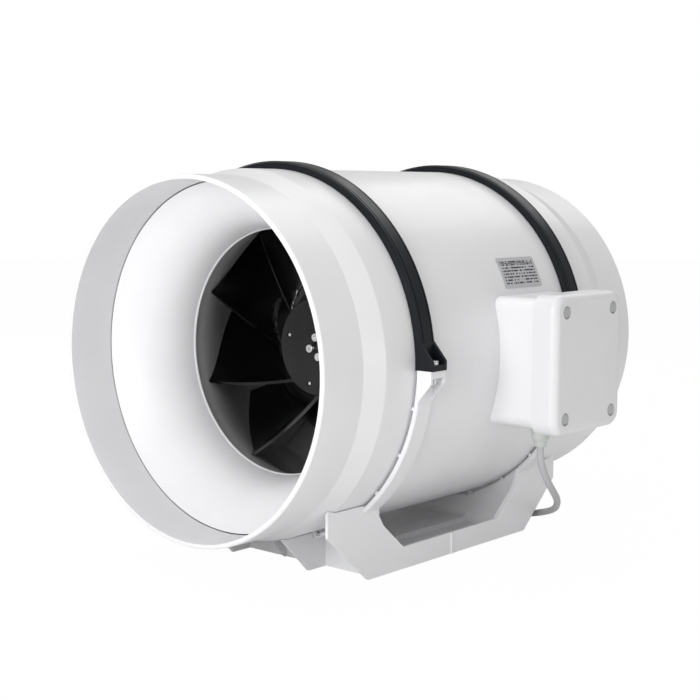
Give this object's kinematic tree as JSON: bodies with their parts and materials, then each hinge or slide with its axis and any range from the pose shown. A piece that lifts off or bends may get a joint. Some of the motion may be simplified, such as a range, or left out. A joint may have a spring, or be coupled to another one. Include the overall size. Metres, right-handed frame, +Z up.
{
  "type": "inline duct fan",
  "caption": "Inline mixed-flow fan for round duct: white casing with a bell mouth, black bladed wheel, guide vanes, clamp rings, wired terminal box and a screw-down base.",
  "frame": {"origin": "centre of the four base mounting holes, on the surface the base stands on; the fan axis is 190 mm above it", "axes": "+X along the fan axis from inlet to outlet, +Z up, the terminal box on the -Y side"},
  "size_m": [0.4687, 0.4067, 0.3605],
  "materials": {
    "white_plastic": "satin",
    "strap_plastic": "satin",
    "impeller_plastic": "gloss",
    "cap_plastic": "satin",
    "cord_plastic": "satin",
    "black_plastic": "satin",
    "rubber": "matte",
    "steel": "satin",
    "core_steel": "satin",
    "motor_alloy": "satin",
    "copper": "satin",
    "plate_foil": "satin"
  },
  "bodies": {
    "housing": {"box_fixing_screws": "steel", "cable_gland": "cap_plastic", "clamp_nuts": "steel", "clamp_screws": "steel", "cord_coil": "cord_plastic", "cord_entry": "cord_plastic", "cord_plug": "cord_plastic", "fan_casing": "white_plastic", "front_bearing": "steel", "front_clamp_strap": "strap_plastic", "gland_locknut": "cap_plastic", "gland_nut": "cap_plastic", "guide_vanes": "white_plastic", "impeller_shroud": "white_plastic", "inlet_bellmouth": "white_plastic", "inlet_collar": "white_plastic", "inlet_gasket": "rubber", "lead_grommet": "rubber", "lid_gasket": "rubber", "lid_screws": "steel", "motor_front_shield": "motor_alloy", "motor_lead": "cord_plastic", "motor_screws": "steel", "motor_shell": "motor_alloy", "mounting_base": "white_plastic", "outlet_collar": "white_plastic", "outlet_gasket": "rubber", "plug_cord": "cord_plastic", "rating_plate": "plate_foil", "rear_bearing": "steel", "rear_clamp_strap": "strap_plastic", "run_capacitor": "black_plastic", "screw_caps": "cap_plastic", "stator_core": "core_steel", "stator_windings": "copper", "supply_cord": "cord_plastic", "tail_cone": "white_plastic", "terminal_block": "black_plastic", "terminal_box": "white_plastic", "terminal_box_lid": "white_plastic"},
    "rotor": {"impeller": "impeller_plastic", "impeller_bush": "steel", "hub_screws": "steel", "motor_shaft": "steel", "rotor_core": "core_steel", "balance_screws": "steel"}
  },
  "joints": [
    {"name": "fan_spin", "type": "hinge", "parent": "housing", "child": "rotor", "pos_m": [0, 0, 0.19], "axis": [-1, 0, 0], "continuous": true}
  ]
}
